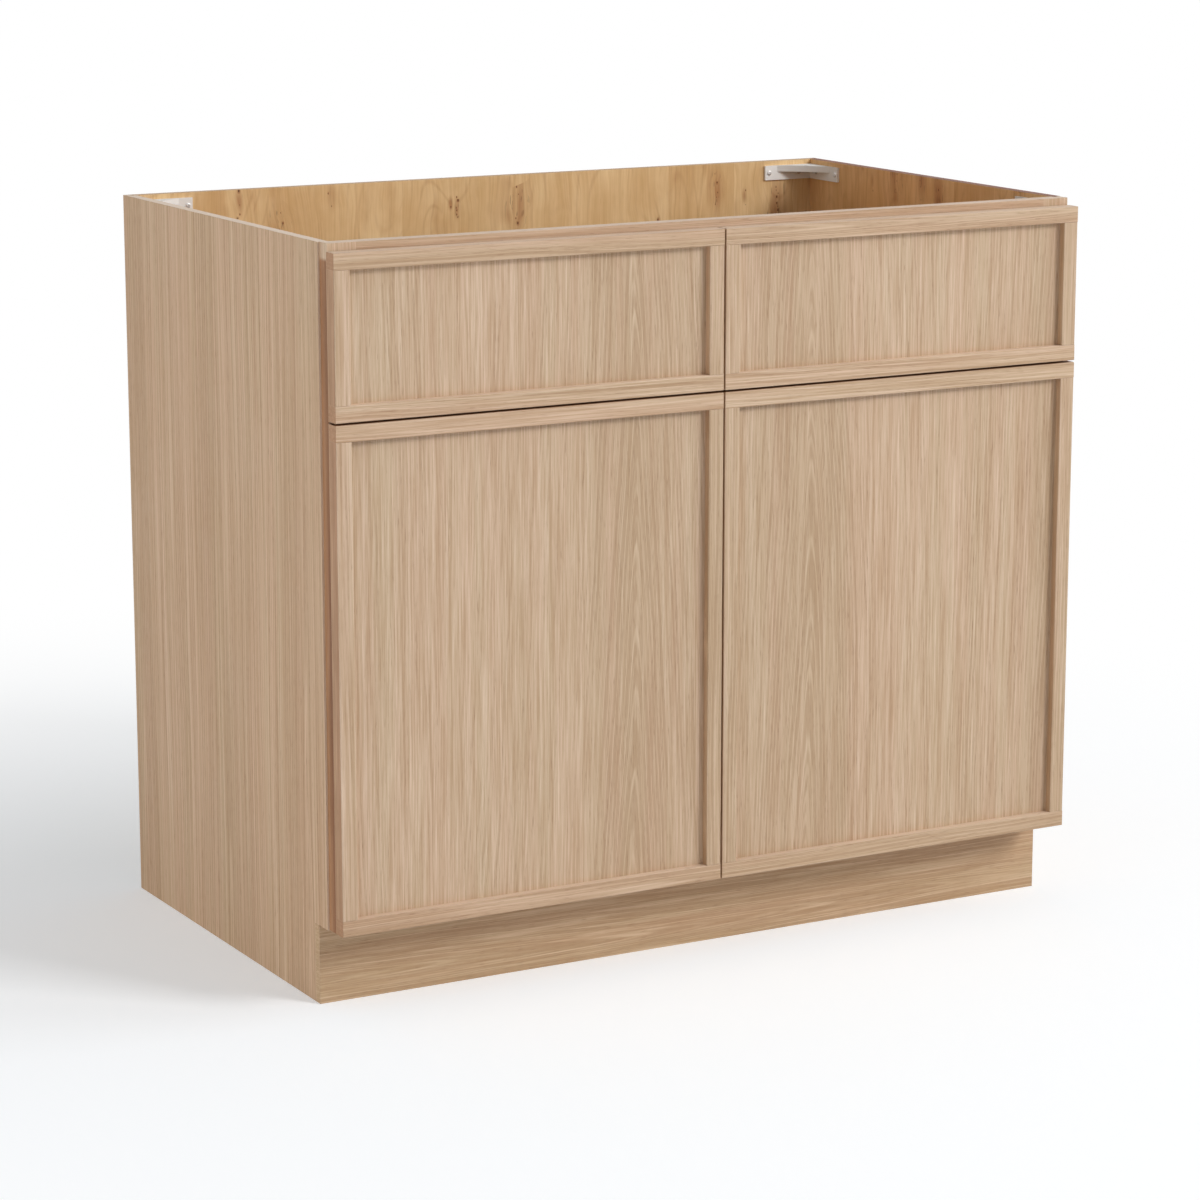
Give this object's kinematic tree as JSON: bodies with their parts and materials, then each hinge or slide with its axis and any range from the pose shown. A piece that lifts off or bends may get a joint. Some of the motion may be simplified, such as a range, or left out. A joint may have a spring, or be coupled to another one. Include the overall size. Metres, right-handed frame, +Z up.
{
  "type": "door and drawer base cabinet",
  "caption": "Oak face-frame base cabinet: slim-framed drawer fronts over slim-framed doors, recessed toe space, open top with corner brackets.",
  "frame": {"origin": "on the floor, under the middle of the overall width and depth", "axes": "+Z up, the door and drawer fronts face -Y, +X to the right of a person facing the fronts from -Y"},
  "size_m": [0.9906, 0.6012, 0.8763],
  "materials": {
    "oak": "matt natural oak",
    "toe_oak": "matt natural oak, a little darker",
    "plywood": "clear-coated knotty plywood",
    "bracket_plastic": "moulded off-white",
    "bumper_plastic": "clear soft dots",
    "zinc_steel": "zinc plated"
  },
  "bodies": {
    "cabinet": {"side_panel_left": "oak", "side_panel_right": "oak", "back_panel": "plywood", "floor_panel": "plywood", "frame_stile_left": "oak", "frame_stile_right": "oak", "frame_top_rail": "oak", "frame_middle_rail": "oak", "frame_bottom_rail": "oak", "frame_mullion": "oak", "toe_kick_board": "plywood", "toe_kick_skin": "toe_oak", "corner_bracket_front_left": "bracket_plastic", "corner_bracket_front_right": "bracket_plastic", "corner_bracket_rear_left": "bracket_plastic", "corner_bracket_rear_right": "bracket_plastic", "corner_bracket_screws": "zinc_steel", "shelf": "plywood", "shelf_pins": "zinc_steel", "frame_bumpers": "bumper_plastic", "left_runner_channels": "zinc_steel", "right_runner_channels": "zinc_steel", "runner_rear_brackets": "zinc_steel", "fixing_screws": "zinc_steel", "hinge_plates": "zinc_steel"},
    "left_drawer": {"left_drawer_front_rails": "oak", "left_drawer_front_stiles": "oak", "left_drawer_front_panel": "oak", "left_drawer_box_front": "plywood", "left_drawer_box_back": "plywood", "left_drawer_box_sides": "plywood", "left_drawer_box_bottom": "plywood", "left_drawer_slides": "zinc_steel", "left_drawer_screws": "zinc_steel"},
    "left_runner_middle": {"left_runner_middles": "zinc_steel"},
    "left_hinge_link": {"left_hinge_links": "zinc_steel"},
    "left_door": {"left_door_top_rail": "oak", "left_door_bottom_rail": "oak", "left_door_hinge_stile": "oak", "left_door_meeting_stile": "oak", "left_door_panel": "oak", "left_door_hinge_cups": "zinc_steel"},
    "right_drawer": {"right_drawer_front_rails": "oak", "right_drawer_front_stiles": "oak", "right_drawer_front_panel": "oak", "right_drawer_box_front": "plywood", "right_drawer_box_back": "plywood", "right_drawer_box_sides": "plywood", "right_drawer_box_bottom": "plywood", "right_drawer_slides": "zinc_steel", "right_drawer_screws": "zinc_steel"},
    "right_runner_middle": {"right_runner_middles": "zinc_steel"},
    "right_hinge_link": {"right_hinge_links": "zinc_steel"},
    "right_door": {"right_door_top_rail": "oak", "right_door_bottom_rail": "oak", "right_door_hinge_stile": "oak", "right_door_meeting_stile": "oak", "right_door_panel": "oak", "right_door_hinge_cups": "zinc_steel"}
  },
  "joints": [
    {"name": "left_drawer_slide", "type": "slide", "parent": "cabinet", "child": "left_drawer", "axis": [0, -1, 0], "range_m": [0, 0.43]},
    {"name": "left_runner_slide", "type": "slide", "parent": "cabinet", "child": "left_runner_middle", "axis": [0, -1, 0], "range_m": [0, 0.215]},
    {"name": "left_hinge_link_turn", "type": "hinge", "parent": "cabinet", "child": "left_hinge_link", "pos_m": [-0.4513, -0.2719, 0.3865], "axis": [0, 0, 1], "range_deg": [0, 52.5]},
    {"name": "left_door_turn", "type": "hinge", "parent": "left_hinge_link", "child": "left_door", "pos_m": [-0.4793, -0.2846, 0.3865], "axis": [0, 0, -1], "range_deg": [0, 157.5]},
    {"name": "right_drawer_slide", "type": "slide", "parent": "cabinet", "child": "right_drawer", "axis": [0, -1, 0], "range_m": [0, 0.43]},
    {"name": "right_runner_slide", "type": "slide", "parent": "cabinet", "child": "right_runner_middle", "axis": [0, -1, 0], "range_m": [0, 0.215]},
    {"name": "right_hinge_link_turn", "type": "hinge", "parent": "cabinet", "child": "right_hinge_link", "pos_m": [0.4513, -0.2719, 0.3865], "axis": [0, 0, -1], "range_deg": [0, 52.5]},
    {"name": "right_door_turn", "type": "hinge", "parent": "right_hinge_link", "child": "right_door", "pos_m": [0.4793, -0.2846, 0.3865], "axis": [0, 0, 1], "range_deg": [0, 157.5]}
  ],
  "couplings": [
    {"joint": "left_runner_slide", "follows": "left_drawer_slide", "ratio": 0.5},
    {"joint": "left_hinge_link_turn", "follows": "left_door_turn", "ratio": 0.33333},
    {"joint": "right_runner_slide", "follows": "right_drawer_slide", "ratio": 0.5},
    {"joint": "right_hinge_link_turn", "follows": "right_door_turn", "ratio": 0.33333}
  ]
}
